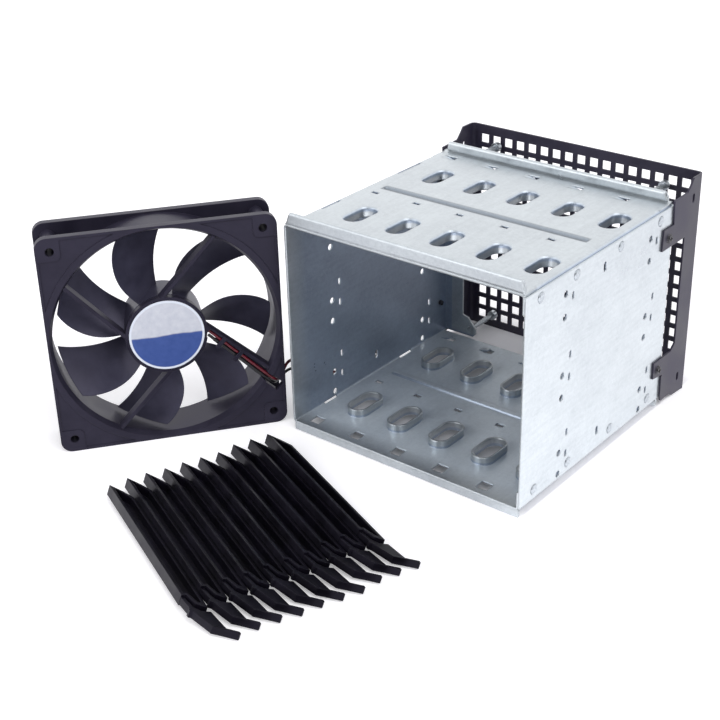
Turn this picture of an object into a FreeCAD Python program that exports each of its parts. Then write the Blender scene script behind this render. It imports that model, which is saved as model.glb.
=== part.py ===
import FreeCAD, Part
import Sketcher
import math
import os

# Hot swap drive cage: a folded steel cage with a screwed-on mesh bezel, a loose
# 120 mm fan with its lead, and ten loose snap-in drive rails lying on the floor.
# Units are millimetres. X runs across the cage, Y from its open front to the
# mesh, Z up from the floor that everything stands on.

os.makedirs("parts", exist_ok=True)
doc = FreeCAD.newDocument("drive_cage")
Vec = FreeCAD.Vector
X_AXIS = Vec(1, 0, 0)
Y_AXIS = Vec(0, 1, 0)
Z_AXIS = Vec(0, 0, 1)

DIMENSIONS = [
    # folded cage
    ("cage_width", 142.0),
    ("cage_depth", 136.5),
    ("cage_height", 112.5),
    ("steel", 1.0),
    ("floor_gap", 4.5),
    ("bend_inside", 1.0),
    ("join_flange", 10.0),
    ("panel_seam", 1.2),
    ("front_lip_rise", 6.5),
    ("rear_lip_rise", 5.4),
    ("rear_lip_curve", 3.4),
    ("front_lip_curve", 1.2),
    ("front_hem_gap", 0.4),
    ("rear_hem_gap", 1.0),
    ("hem_clear", 1.1),
    ("rear_flange_reach", 13.2),
    # pattern of the five bays
    ("bay_count", 5.0),
    ("bay_pitch", 26.7),
    ("oval_first", 22.6),
    ("oval_long", 22.8),
    ("oval_wide", 12.2),
    ("oval_roll", 0.9),
    ("oval_front_row", 32.4),
    ("oval_rear_row", 98.0),
    ("collar_height", 4.4),
    ("slot_first", 10.2),
    ("square_hole", 6.4),
    ("square_row", 7.5),
    ("small_slot_row", 60.0),
    ("lance_row", 126.0),
    ("groove_top_row", 69.0),
    ("groove_base_row", 73.5),
    ("groove_width", 4.6),
    ("groove_depth", 1.1),
    ("small_slot_long", 4.4),
    ("small_slot_wide", 2.6),
    # drive screw holes in the sides
    ("side_hole_front", 33.5),
    ("side_hole_pitch", 79.2),
    ("side_hole_low", 4.0),
    ("side_hole_step", 11.9),
    ("side_hole_radius", 1.75),
    ("device_pitch", 42.4),
    # clinch rivets
    ("rivet_inset", 5.4),
    ("rivet_head_radius", 2.8),
    ("rivet_head_height", 0.5),
    ("rivet_shank_radius", 1.6),
    # mesh bezel
    ("bezel_sheet", 1.0),
    ("bezel_height", 125.1),
    ("bezel_inner_face", 163.1),
    ("mesh_pitch", 7.86),
    ("mesh_hole", 5.15),
    ("mesh_side_margin", 2.0),
    ("mesh_end_margin", 3.6),
    ("mesh_drop", 0.35),
    ("bezel_screw_radius", 1.4),
    ("bezel_head_radius", 2.6),
    ("bezel_head_height", 1.2),
    # fan screws
    ("fan_hole_inset", 7.2),
    ("fan_pattern_height", 62.6),
    ("fan_screw_radius", 1.5),
    ("fan_screw_head_radius", 2.7),
    ("fan_screw_head_height", 3.0),
    ("lobe_margin", 4.0),
    ("fan_screw_head_face", 157.5),
    ("fan_screw_tip", 135.0),
    # fan
    ("fan_size", 119.4),
    ("fan_depth", 25.0),
    ("fan_corner_radius", 6.0),
    ("fan_flange", 4.0),
    ("duct_inset", 2.7),
    ("duct_wall", 1.7),
    ("mouth_flare", 1.6),
    ("rim_band", 5.0),
    ("post_wall", 1.5),
    ("fan_hole_radius", 2.2),
    ("motor_base_radius", 21.0),
    ("motor_base_front", 0.5),
    ("motor_base_back", 3.5),
    ("strut_width", 3.4),
    ("strut_back", 4.4),
    ("strut_offset", 14.6),
    ("label_radius", 19.2),
    ("label_thick", 0.3),
    ("hub_radius", 20.6),
    ("hub_front", 5.2),
    ("hub_back", 23.4),
    ("hub_wall", 1.5),
    ("blade_gap", 1.6),
    ("blade_count", 7.0),
    ("blade_thick", 1.7),
    ("blade_camber", 1.3),
    ("blade_front", 6.6),
    ("blade_back", 19.6),
    ("stator_fit", 0.05),
    ("shaft_radius", 1.5),
    ("bearing_radius", 4.0),
    ("bearing_width", 4.0),
    ("tube_radius", 5.2),
    ("fan_x", -44.6),
    ("fan_y", -43.1),
    ("fan_yaw", 53.0),
    # fan lead
    ("wire_radius", 0.8),
    ("coil_radius", 9.0),
    ("coil_section", 2.2),
    # drive rails
    ("rail_count", 10.0),
    ("rail_width", 8.8),
    ("rail_height", 5.3),
    ("rail_wall", 1.5),
    ("rail_body", 109.5),
    ("rail_arm_start", 100.0),
    ("rail_tip_run", 12.0),
    ("rail_lean", 21.0),
    ("rail_pin_radius", 1.3),
    ("rail_pin_inset", 3.2),
    ("rail_pin_first", 24.0),
    ("rail_pin_pitch", 60.0),
    ("rail_heading", -24.1),
    ("rail_fan_out", 0.17),
    ("rail_step_across", 9.685),
    ("rail_row_start", -108.9),
    ("latch_bottom", 0.7),
    ("latch_top", 4.2),
    ("latch_plate", 1.3),
    ("latch_gap", 0.3),
]

sheet = doc.addObject("Spreadsheet::Sheet", "dims")
for row, (alias, value) in enumerate(DIMENSIONS, start=1):
    sheet.set("A%d" % row, alias)
    sheet.set("B%d" % row, str(value))
    sheet.setAlias("B%d" % row, alias)
doc.recompute()


def dim(alias):
    """A driving dimension, read back from the sheet."""
    return float(sheet.get(alias))


nodes = []


def node(name, shape, placement=None):
    """One named piece of the set."""
    piece = doc.addObject("Part::Feature", name)
    piece.Label = name
    piece.Shape = shape
    if placement is not None:
        piece.Placement = placement
    nodes.append(piece)
    return piece


# ---------------------------------------------------------------- shape helpers

def on_xz(a, b):
    return Vec(a, 0, b)


def on_yz(a, b):
    return Vec(0, a, b)


def on_xy(a, b):
    return Vec(a, b, 0)


def polygon_face(points, place):
    corners = [place(a, b) for a, b in points]
    return Part.Face(Part.makePolygon(corners + [corners[0]]))


def prism(points, place, shift, push):
    """Polygon laid on a plane, moved by shift and pushed out along push."""
    face = polygon_face(points, place)
    face.translate(shift)
    return face.extrude(push)


def box(low, high):
    size = high - low
    return Part.makeBox(size.x, size.y, size.z, low)


def unit(a, b):
    length = math.hypot(b[0] - a[0], b[1] - a[1])
    return ((b[0] - a[0]) / length, (b[1] - a[1]) / length)


def rounded_path(points, radii, place):
    """Edges of a polyline whose corners are rounded by the radii given."""
    edges = []
    start = points[0]
    for i in range(1, len(points) - 1):
        before = unit(points[i - 1], points[i])
        after = unit(points[i], points[i + 1])
        cross = before[0] * after[1] - before[1] * after[0]
        dot = before[0] * after[0] + before[1] * after[1]
        turn = abs(math.atan2(cross, dot))
        radius = radii[i - 1]
        cut = radius * math.tan(turn / 2)
        corner = points[i]
        first = (corner[0] - before[0] * cut, corner[1] - before[1] * cut)
        last = (corner[0] + after[0] * cut, corner[1] + after[1] * cut)
        side = 1 if cross > 0 else -1
        centre = (first[0] - before[1] * radius * side, first[1] + before[0] * radius * side)
        out = unit(centre, corner)
        middle = (centre[0] + out[0] * radius, centre[1] + out[1] * radius)
        if math.hypot(first[0] - start[0], first[1] - start[1]) > 1e-6:
            edges.append(Part.makeLine(place(*start), place(*first)))
        edges.append(Part.Arc(place(*first), place(*middle), place(*last)).toShape())
        start = last
    edges.append(Part.makeLine(place(*start), place(*points[-1])))
    return edges


def folded_sheet(points, thick, inner_radii, place, push):
    """Sheet metal folded along a path; a positive thickness lies left of it."""
    offset = []
    count = len(points)
    for i in range(count):
        before = unit(points[i - 1], points[i]) if i > 0 else None
        after = unit(points[i], points[i + 1]) if i < count - 1 else None
        lead = before or after
        follow = after or before
        normal = (-lead[1] - follow[1], lead[0] + follow[0])
        scale = thick / (1 + lead[0] * follow[0] + lead[1] * follow[1])
        offset.append((points[i][0] + normal[0] * scale, points[i][1] + normal[1] * scale))
    base_radii = []
    offset_radii = []
    for i in range(1, count - 1):
        before = unit(points[i - 1], points[i])
        after = unit(points[i], points[i + 1])
        left_turn = before[0] * after[1] - before[1] * after[0] > 0
        inner = inner_radii[i - 1]
        outer = inner + abs(thick)
        if left_turn == (thick > 0):
            base_radii.append(outer)
            offset_radii.append(inner)
        else:
            base_radii.append(inner)
            offset_radii.append(outer)
    edges = rounded_path(points, base_radii, place)
    edges.append(Part.makeLine(place(*points[-1]), place(*offset[-1])))
    edges += rounded_path(offset[::-1], offset_radii[::-1], place)
    edges.append(Part.makeLine(place(*offset[0]), place(*points[0])))
    return Part.Face(Part.Wire(Part.__sortEdges__(edges))).extrude(push)


def oval_wire(centre, long_size, wide_size, along, across):
    """Round-ended slot outline around a centre."""
    half = (long_size - wide_size) / 2
    radius = wide_size / 2
    a = centre + along * half + across * radius
    b = centre + along * (half + radius)
    c = centre + along * half - across * radius
    d = centre - along * half - across * radius
    e = centre - along * (half + radius)
    f = centre - along * half + across * radius
    return Part.Wire([
        Part.Arc(a, b, c).toShape(),
        Part.makeLine(c, d),
        Part.Arc(d, e, f).toShape(),
        Part.makeLine(f, a),
    ])


def oval_solid(centre, long_size, wide_size, along, across, push):
    return Part.Face(oval_wire(centre, long_size, wide_size, along, across)).extrude(push)


def ring(outer, inner, low, high, axis=Y_AXIS):
    """Tube between two stations on an axis through the origin."""
    start = axis * low
    tube = Part.makeCylinder(outer, high - low, start, axis)
    if inner > 0:
        tube = tube.cut(Part.makeCylinder(inner, high - low, start, axis))
    return tube


def turned(shape, degrees, centre, axis):
    copy = shape.copy()
    copy.rotate(centre, axis, degrees)
    return copy


def mirrored(shape, point, normal):
    return shape.mirror(point, normal)


# ------------------------------------------------------------------- the cage

width = dim("cage_width")
depth = dim("cage_depth")
steel = dim("steel")
base_z = dim("floor_gap")
top_z = base_z + dim("cage_height")
mid_z = (base_z + top_z) / 2
bend = dim("bend_inside")
right_join = width - steel
bays = int(dim("bay_count"))
fan_pitch = dim("fan_size") - 2 * dim("fan_hole_inset")


def bay_x(first, index):
    return first + dim("bay_pitch") * index


def side_hole_heights():
    heights = []
    for device in range(3):
        low = base_z + dim("side_hole_low") + dim("device_pitch") * device
        heights += [low, low + dim("side_hole_step")]
    return heights


def side_cutters(x_low, x_high):
    """Every hole that is punched through a side of the cage."""
    push = Vec(x_high - x_low, 0, 0)
    cutters = []
    rows = (dim("side_hole_front"), dim("side_hole_front") + dim("side_hole_pitch"))
    for y in rows:
        for z in side_hole_heights():
            cutters.append(Part.makeCylinder(dim("side_hole_radius"), push.x, Vec(x_low, y, z), X_AXIS))
    for y in rows:
        for z in side_hole_heights()[:5]:
            centre = Vec(x_low, y + 6.5, z + 8.9)
            cutters.append(oval_solid(centre, 4.0, 2.0, Z_AXIS, Y_AXIS, push))
    for y, z in ((depth / 2, base_z + 101.9), (depth / 2 + 1.5, base_z + 11.6)):
        cutters.append(oval_solid(Vec(x_low, y, z), 5.0, 2.5, Z_AXIS, Y_AXIS, push))
    return cutters


BEZEL_SCREWS = ((130.4, 99.7), (129.8, 24.8))


def bezel_screw_cutters(x_low, x_high, radius):
    return [Part.makeCylinder(radius, x_high - x_low, Vec(x_low, y, z), X_AXIS)
            for y, z in BEZEL_SCREWS]


RIVET_ROWS = (12.0, 42.5, 83.0, 122.0)


def rivet_points():
    heights = (base_z + dim("rivet_inset") + steel, top_z - dim("rivet_inset"))
    return [(y, z) for z in heights for y in RIVET_ROWS]


def rear_flange_outline(reach_x, sign):
    """Rear flange with a lobe for a fan screw at each end; sign picks the side."""
    high = top_z - dim("panel_seam")
    narrow = dim("rear_flange_reach")
    centre = dim("fan_pattern_height")
    wide = width / 2 - fan_pitch / 2 + dim("lobe_margin")
    lower = centre - fan_pitch / 2
    upper = centre + fan_pitch / 2
    low = min(base_z + dim("panel_seam"), lower - dim("lobe_margin"))
    cap = upper + 2.4
    shoulder = max(wide - 5.3, narrow + 0.8)
    step = min(narrow + 1.3, wide - 2.0)
    points = [
        (0, low), (wide - 2, low), (wide, lower - 2.4), (wide, lower + 0.6),
        (shoulder, lower + 7), (narrow, lower + 8.2), (narrow, upper - 8.2),
        (shoulder, upper - 7), (wide, upper - 0.6), (wide, cap - 1.6), (wide - 1.5, cap),
        (step, cap), (step, high), (0, high),
    ]
    return [(reach_x + sign * x, z) for x, z in points]


def fan_hole_points():
    half = fan_pitch / 2
    centre_z = dim("fan_pattern_height")
    return [(width / 2 + sx * half, centre_z + sz * half) for sx in (-1, 1) for sz in (-1, 1)]


def fan_hole_cutters():
    return [Part.makeCylinder(dim("fan_screw_radius") + 0.2, 4 * steel,
                              Vec(x, depth - 3 * steel, z), Y_AXIS)
            for x, z in fan_hole_points()]


def rear_lip(rise, x_low, x_high):
    """Plate edge curled up in a wide curve and hemmed back on itself."""
    face_y = depth - steel
    crest = top_z + rise - steel
    free_edge = top_z + dim("hem_clear")
    hem_gap = dim("rear_hem_gap")
    curve = min(dim("rear_lip_curve"), rise - steel - hem_gap / 2 - 0.05)
    path = [
        (depth - 14, top_z), (face_y, top_z), (face_y, crest),
        (face_y - hem_gap, crest), (face_y - hem_gap, free_edge),
    ]
    radii = [curve, hem_gap / 2, hem_gap / 2]
    solid = folded_sheet(path, -steel, radii, on_yz, Vec(x_high - x_low, 0, 0))
    solid.translate(Vec(x_low, 0, 0))
    return solid


def front_lip(rise, x_low, x_high):
    """Plate edge turned up sharply and hemmed back over the plate."""
    crest = top_z + rise - steel
    free_edge = top_z + dim("hem_clear")
    hem_gap = dim("front_hem_gap")
    path = [
        (10, top_z), (steel, top_z), (steel, crest),
        (steel + hem_gap, crest), (steel + hem_gap, free_edge),
    ]
    radii = [dim("front_lip_curve"), hem_gap / 2, hem_gap / 2]
    solid = folded_sheet(path, steel, radii, on_yz, Vec(x_high - x_low, 0, 0))
    solid.translate(Vec(x_low, 0, 0))
    return solid


def lip_end_trim(y_low, y_high, x_end, sign, run):
    """Wedge that slopes the end of a lip, taking more away at its crest."""
    z_low = top_z + 0.6
    z_high = top_z + 12
    slope = run * (z_high - z_low) / 6
    points = [(x_end, z_low), (x_end + sign * 12, z_low), (x_end + sign * 12, z_high),
              (x_end - sign * slope, z_high)]
    return prism(points, on_xz, Vec(0, y_low, 0), Vec(0, y_high - y_low, 0))


c_path = [
    (right_join, base_z + dim("join_flange")),
    (right_join, base_z),
    (0, base_z),
    (0, top_z),
    (right_join, top_z),
    (right_join, top_z - dim("join_flange")),
]
shell = folded_sheet(c_path, -steel, [bend] * 4, on_xz, Vec(0, depth, 0))

# The plates stop short of the back, where their curled rear lips take over.
rear_start = depth - 8
shell = shell.cut([
    box(Vec(-1, rear_start, top_z - steel - 0.01), Vec(width + 1, depth + 1, top_z + 1)),
    box(Vec(-1, rear_start, base_z - 1), Vec(width + 1, depth + 1, base_z + steel + 0.01)),
    box(Vec(steel + 1, depth - steel - 0.6, base_z), Vec(width + 1, depth + 1, top_z)),
    # the joining flanges end before the right panel's own rear bend
    box(Vec(right_join - 1.5 * steel, depth - steel - bend - 0.3, base_z + steel),
        Vec(width + 1, depth + 1, top_z - steel)),
])

rear_top = rear_lip(dim("rear_lip_rise"), steel, right_join - 0.3)
rear_top = rear_top.cut([
    lip_end_trim(depth - 9, depth + 1, 3.0, -1, 0.9),
    lip_end_trim(depth - 9, depth + 1, right_join - 2, 1, 3.4),
])
front_top = front_lip(dim("front_lip_rise"), steel, right_join - 0.3)
front_top = front_top.cut([
    lip_end_trim(-1, 4, 1.6, -1, 2.4),
    lip_end_trim(-1, 4, right_join - 0.2, 1, 1.6),
])
rear_base = mirrored(rear_lip(dim("floor_gap"), steel, right_join - 0.3),
                     Vec(0, 0, mid_z), Z_AXIS)
front_base = mirrored(front_lip(dim("floor_gap"), steel, right_join - 0.3),
                      Vec(0, 0, mid_z), Z_AXIS)
rear_flange = prism(rear_flange_outline(0, 1), on_xz, Vec(0, depth - steel, 0), Vec(0, steel, 0))
shell = shell.fuse([rear_top, front_top, rear_base, front_base, rear_flange])


def plate_cutters(z_low, z_high):
    push = Vec(0, 0, z_high - z_low)
    cutters = []
    for index in range(bays):
        for y in (dim("oval_front_row"), dim("oval_rear_row")):
            centre = Vec(bay_x(dim("oval_first"), index), y, z_low)
            cutters.append(oval_solid(centre, dim("oval_long"), dim("oval_wide"),
                                      Y_AXIS, X_AXIS, push))
        x = bay_x(dim("slot_first"), index)
        row = dim("small_slot_row")
        half_long = dim("small_slot_long") / 2
        half_wide = dim("small_slot_wide") / 2
        cutters.append(box(Vec(x - half_long, row - half_wide, z_low),
                           Vec(x + half_long, row + half_wide, z_high)))
        row = dim("lance_row")
        cutters.append(box(Vec(x - 4.2, row - 2, z_low), Vec(x + 4.2, row + 2, z_high)))
    return cutters


def collar(x, y, face_z, sign):
    """Oval collar drawn into the cage around an opening, with a rolled mouth."""
    face = Vec(x, y, face_z)
    deep = Vec(0, 0, sign * (steel + dim("collar_height")))
    roll = dim("oval_roll")
    long_size = dim("oval_long")
    wide_size = dim("oval_wide")
    bore_long = long_size - 2 * steel
    bore_wide = wide_size - 2 * steel
    body = oval_solid(face, long_size, wide_size, Y_AXIS, X_AXIS, deep)
    bore = oval_solid(face, bore_long, bore_wide, Y_AXIS, X_AXIS, deep)
    mouth = Part.makeLoft([
        oval_wire(face, bore_long + 2 * roll, bore_wide + 2 * roll, Y_AXIS, X_AXIS),
        oval_wire(face + Vec(0, 0, sign * roll), bore_long, bore_wide, Y_AXIS, X_AXIS),
    ], True, True)
    return body.cut([bore, mouth])


def lance(x, y, face_z, sign):
    """Tongue cut on three sides and pressed into the cage."""
    points = [(x - 4.2, face_z), (x + 1.6, face_z + sign * 1.5),
              (x + 1.6, face_z + sign * 2.4), (x - 4.2, face_z + sign * steel)]
    return prism(points, on_xz, Vec(0, y - 1.7, 0), Vec(0, 3.4, 0))


def groove_parts(row, face_z, sign):
    """Stiffening bead across a plate: pressed in outside, proud inside."""
    x_low = 9.0
    x_high = width - 10.0
    across = x_high - x_low
    wide_size = dim("groove_width")
    deep = dim("groove_depth")
    middle = Vec((x_low + x_high) / 2, row, face_z)
    cut = Part.makeLoft([
        oval_wire(middle - Vec(0, 0, sign * 0.1), across + 0.2, wide_size + 0.2, X_AXIS, Y_AXIS),
        oval_wire(middle + Vec(0, 0, sign * deep), across - 2 * deep, wide_size - 2 * deep,
                  X_AXIS, Y_AXIS),
    ], True, True)
    rib = Part.makeLoft([
        oval_wire(middle + Vec(0, 0, sign * (steel - 0.1)), across + 0.2, wide_size + 0.2,
                  X_AXIS, Y_AXIS),
        oval_wire(middle + Vec(0, 0, sign * (steel + deep)), across - 2 * deep,
                  wide_size - 1.4 * deep, X_AXIS, Y_AXIS),
    ], True, True)
    return cut, rib.cut(cut)


cutters = plate_cutters(top_z - steel - 0.5, top_z + 0.5)
cutters += plate_cutters(base_z - 0.5, base_z + steel + 0.5)
half_square = dim("square_hole") / 2
for index in range(bays):
    x = bay_x(dim("slot_first"), index)
    y = dim("square_row")
    cutters.append(box(Vec(x - half_square, y - half_square, base_z - 0.5),
                       Vec(x + half_square, y + half_square, base_z + steel + 0.5)))
groove_top, rib_top = groove_parts(dim("groove_top_row"), top_z, -1)
groove_base, rib_base = groove_parts(dim("groove_base_row"), base_z, 1)
cutters += [groove_top, groove_base]
shell = shell.cut(cutters)

additions = [rib_top, rib_base]
for index in range(bays):
    for y in (dim("oval_front_row"), dim("oval_rear_row")):
        x = bay_x(dim("oval_first"), index)
        additions.append(collar(x, y, top_z, -1))
        additions.append(collar(x, y, base_z, 1))
    x = bay_x(dim("slot_first"), index)
    additions.append(lance(x, dim("lance_row"), top_z, -1))
    additions.append(lance(x, dim("lance_row"), base_z, 1))
shell = shell.fuse(additions)

# Holes through the left wall and through the flanges that carry the right panel.
shell_cutters = side_cutters(-1, steel + 1)
shell_cutters += side_cutters(right_join - steel - 1, right_join + 1)
shell_cutters += bezel_screw_cutters(-1, steel + 1, dim("bezel_screw_radius"))
shell_cutters += fan_hole_cutters()
for y, z in rivet_points():
    shell_cutters.append(Part.makeCylinder(dim("rivet_shank_radius"), 3 * steel,
                                           Vec(right_join - 2 * steel, y, z), X_AXIS))
# Long relief slots in the bends of the left wall.
for y_low, y_high in ((26.5, 41.5), (89.5, 110)):
    shell_cutters.append(box(Vec(0.5, y_low, top_z - 1.6), Vec(3.0, y_high, top_z + 0.5)))
for y_low, y_high in ((23.6, 34), (90, 101)):
    shell_cutters.append(box(Vec(-0.5, y_low, base_z - 0.5), Vec(2.2, y_high, base_z + 1.4)))
shell = shell.cut(shell_cutters).removeSplitter()
node("cage_shell", shell)

panel_low = base_z + dim("panel_seam")
panel_high = top_z - dim("panel_seam")
panel_path = [(width, 0), (width, depth), (width - dim("rear_flange_reach"), depth)]
panel = folded_sheet(panel_path, steel, [bend], on_xy, Vec(0, 0, panel_high - panel_low))
panel.translate(Vec(0, 0, panel_low))
lobes = prism(rear_flange_outline(width, -1), on_xz, Vec(0, depth - steel, 0), Vec(0, steel, 0))
lobes = lobes.common(box(Vec(0, 0, 0), Vec(width - dim("rear_flange_reach") + 2, depth + 1, 200)))
panel = panel.fuse(lobes)
panel_cutters = side_cutters(right_join - 1, width + 1)
panel_cutters += bezel_screw_cutters(right_join - 1, width + 1, dim("bezel_screw_radius"))
panel_cutters += fan_hole_cutters()
for y, z in rivet_points():
    panel_cutters.append(Part.makeCylinder(dim("rivet_shank_radius"), 3 * steel,
                                           Vec(right_join - steel, y, z), X_AXIS))
panel = panel.cut(panel_cutters).removeSplitter()
node("side_panel", panel)

rivets = []
for y, z in rivet_points():
    head = dim("rivet_head_height")
    radius = dim("rivet_head_radius")
    body = Part.makeCylinder(dim("rivet_shank_radius"), 2 * steel,
                             Vec(right_join - steel, y, z), X_AXIS)
    outer = Part.makeCone(radius, radius - 0.9, head, Vec(width, y, z), X_AXIS)
    inner = Part.makeCone(radius - 0.2, radius - 0.8, head, Vec(right_join - steel, y, z), X_AXIS * -1)
    rivets.append(body.fuse([outer, inner]))
node("clinch_rivets", Part.makeCompound(rivets))

# ------------------------------------------------------------------ mesh bezel

bezel_t = dim("bezel_sheet")
bezel_top = dim("bezel_height")
mesh_y = dim("bezel_inner_face")
bezel_path = [(-bezel_t, 120), (-bezel_t, mesh_y + bezel_t),
              (width + bezel_t, mesh_y + bezel_t), (width + bezel_t, 120)]
bezel = folded_sheet(bezel_path, -bezel_t, [2.0, 2.0], on_xy, Vec(0, 0, bezel_top))
# The flat mesh is made separately, so only its margins are kept of the fold.
flat_low = 2.5
flat_high = width - 2.5
bezel = bezel.cut(box(Vec(flat_low, mesh_y - 1, -1), Vec(flat_high, mesh_y + 3, bezel_top + 1)))

# Side flange: a broad top shoulder and two screw tabs joined by a narrow strip.
flange_outline = [
    (170, 0.3), (160.1, 0.3), (148.9, 1.2), (145.0, 3.4), (136.4, 3.3), (135.1, 6.6),
    (134.7, 18.5), (135.5, 19.7), (125.2, 21.1), (125.1, 30.5), (143.4, 30.3),
    (147.5, 33.5), (147.8, 94.5), (124.0, 94.5), (124.6, 105.8), (134.9, 105.8),
    (134.0, bezel_top - 6.6), (148.0, bezel_top - 6.1), (151.0, bezel_top - 3.1),
    (153.5, bezel_top), (170, bezel_top),
]
outside = box(Vec(-10, 100, -5), Vec(width + 10, 160.2, bezel_top + 5))
keep = prism(flange_outline, on_yz, Vec(-20, 0, 0), Vec(width + 40, 0, 0))
bezel = bezel.cut(outside.cut(keep))
hole_wires = []
pitch = dim("mesh_pitch")
half_hole = dim("mesh_hole") / 2
mesh_room = flat_high - flat_low - 2 * dim("mesh_side_margin") - 2 * half_hole
columns = int(mesh_room / pitch) + 1
rows = int((bezel_top - 2 * dim("mesh_end_margin") - 2 * half_hole) / pitch) + 1
mesh_middle = bezel_top / 2 - dim("mesh_drop")


def mesh_rectangle(x_low, x_high, z_low, z_high):
    corners = [Vec(x_low, mesh_y, z_low), Vec(x_high, mesh_y, z_low),
               Vec(x_high, mesh_y, z_high), Vec(x_low, mesh_y, z_high)]
    return Part.makePolygon(corners + [corners[0]])


for column in range(columns):
    for row in range(rows):
        x = width / 2 + (column - (columns - 1) / 2) * pitch
        z = mesh_middle + (row - (rows - 1) / 2) * pitch
        hole_wires.append(mesh_rectangle(x - half_hole, x + half_hole, z - half_hole, z + half_hole))
mesh_outline = mesh_rectangle(flat_low, flat_high, 0, bezel_top)
mesh = Part.makeFace([mesh_outline] + hole_wires, "Part::FaceMakerBullseye")
mesh = mesh.extrude(Vec(0, bezel_t, 0))
bezel = bezel.fuse(mesh)
bezel_cutters = bezel_screw_cutters(-3, 2, dim("bezel_screw_radius") + 0.1)
bezel_cutters += bezel_screw_cutters(width - 2, width + 3, dim("bezel_screw_radius") + 0.1)
for y, z in ((154.2, 114.0), (153.9, 10.9)):
    bezel_cutters.append(oval_solid(Vec(-3, y, z), 5.0, 2.4, Z_AXIS, Y_AXIS, Vec(width + 6, 0, 0)))
bezel = bezel.cut(bezel_cutters)
node("mesh_bezel", bezel)

screws = []
for x_face, sign in ((-bezel_t, -1), (width + bezel_t, 1)):
    for y, z in BEZEL_SCREWS:
        out = X_AXIS * sign
        radius = dim("bezel_head_radius")
        head = Part.makeCone(radius, radius - 0.8, dim("bezel_head_height"), Vec(x_face, y, z), out)
        shank = Part.makeCylinder(dim("bezel_screw_radius"), 3.6, Vec(x_face, y, z), out * -1)
        front = Vec(x_face, y, z) + out * (dim("bezel_head_height") - 0.6)
        slot_a = box(front - Vec(1, 1.4, 0.3), front + Vec(1, 1.4, 0.3))
        slot_b = box(front - Vec(1, 0.3, 1.4), front + Vec(1, 0.3, 1.4))
        if sign > 0:
            slot_a.translate(Vec(1, 0, 0))
            slot_b.translate(Vec(1, 0, 0))
        else:
            slot_a.translate(Vec(-1, 0, 0))
            slot_b.translate(Vec(-1, 0, 0))
        screws.append(head.fuse(shank).cut([slot_a, slot_b]))
node("bezel_screws", Part.makeCompound(screws))

# Long fan screws: one turned body, placed at the four holes of the pattern.
screw_body = doc.addObject("PartDesign::Body", "fan_screw_master")
screw_sketch = screw_body.newObject("Sketcher::SketchObject", "fan_screw_profile")
xy_plane = [f for f in screw_body.Origin.OriginFeatures if f.Role == "XY_Plane"][0]
screw_sketch.AttachmentSupport = [(xy_plane, "")]
screw_sketch.MapMode = "FlatFace"
tip_y = dim("fan_screw_tip") - dim("fan_screw_head_face")
profile = [
    ("", "fan_screw_tip - dims.fan_screw_head_face", 0.0, tip_y),
    ("fan_screw_radius", "fan_screw_tip - dims.fan_screw_head_face", dim("fan_screw_radius"), tip_y),
    ("fan_screw_radius", "", dim("fan_screw_radius"), 0.0),
    ("fan_screw_head_radius", "", dim("fan_screw_head_radius"), 0.0),
    ("fan_screw_head_radius", "fan_screw_head_height", dim("fan_screw_head_radius"),
     dim("fan_screw_head_height")),
    ("", "fan_screw_head_height", 0.0, dim("fan_screw_head_height")),
]
for i in range(len(profile)):
    here = profile[i]
    there = profile[(i + 1) % len(profile)]
    screw_sketch.addGeometry(Part.LineSegment(Vec(here[2], here[3], 0), Vec(there[2], there[3], 0)))
for i in range(len(profile)):
    screw_sketch.addConstraint(Sketcher.Constraint("Coincident", i, 2, (i + 1) % len(profile), 1))
for i, (x_alias, y_alias, x_value, y_value) in enumerate(profile):
    for kind, alias, value in (("DistanceX", x_alias, x_value), ("DistanceY", y_alias, y_value)):
        index = screw_sketch.addConstraint(Sketcher.Constraint(kind, -1, 1, i, 1, value))
        if alias:
            screw_sketch.setExpression("Constraints[%d]" % index, "dims." + alias)
turn_screw = screw_body.newObject("PartDesign::Revolution", "fan_screw_turning")
turn_screw.Profile = screw_sketch
turn_screw.ReferenceAxis = (screw_sketch, ["V_Axis"])
turn_screw.Angle = 360.0
screw_body.Tip = turn_screw
doc.recompute()
fan_screw = screw_body.Shape.copy()
head_end = dim("fan_screw_head_height")
cross = [box(Vec(-2, head_end - 1.2, -0.45), Vec(2, head_end + 1, 0.45)),
         box(Vec(-0.45, head_end - 1.2, -2), Vec(0.45, head_end + 1, 2))]
fan_screw = fan_screw.cut(cross)
screws = []
for x, z in fan_hole_points():
    copy = fan_screw.copy()
    copy.translate(Vec(x, dim("fan_screw_head_face"), z))
    screws.append(copy)
node("fan_screws", Part.makeCompound(screws))

# ------------------------------------------------------------------------ fan
# Built with its label side at y = 0 and its axis on x = z = 0, then stood up.

fan_place = FreeCAD.Placement(Vec(dim("fan_x"), dim("fan_y"), dim("fan_size") / 2),
                              FreeCAD.Rotation(Z_AXIS, dim("fan_yaw")))
half = dim("fan_size") / 2
fan_depth = dim("fan_depth")
flange = dim("fan_flange")
duct = half - dim("duct_inset")
mouth_radius = duct + dim("mouth_flare")
hole_offset = fan_pitch / 2
corners = [(sx * hole_offset, sz * hole_offset) for sx in (-1, 1) for sz in (-1, 1)]


def fan_flange_plate(y_low, y_high):
    plate = box(Vec(-half, y_low, -half), Vec(half, y_high, half))
    upright = [e for e in plate.Edges
               if abs(e.Vertexes[0].Point.y - e.Vertexes[1].Point.y) > 1e-3]
    return plate.makeFillet(dim("fan_corner_radius"), upright)


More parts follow.
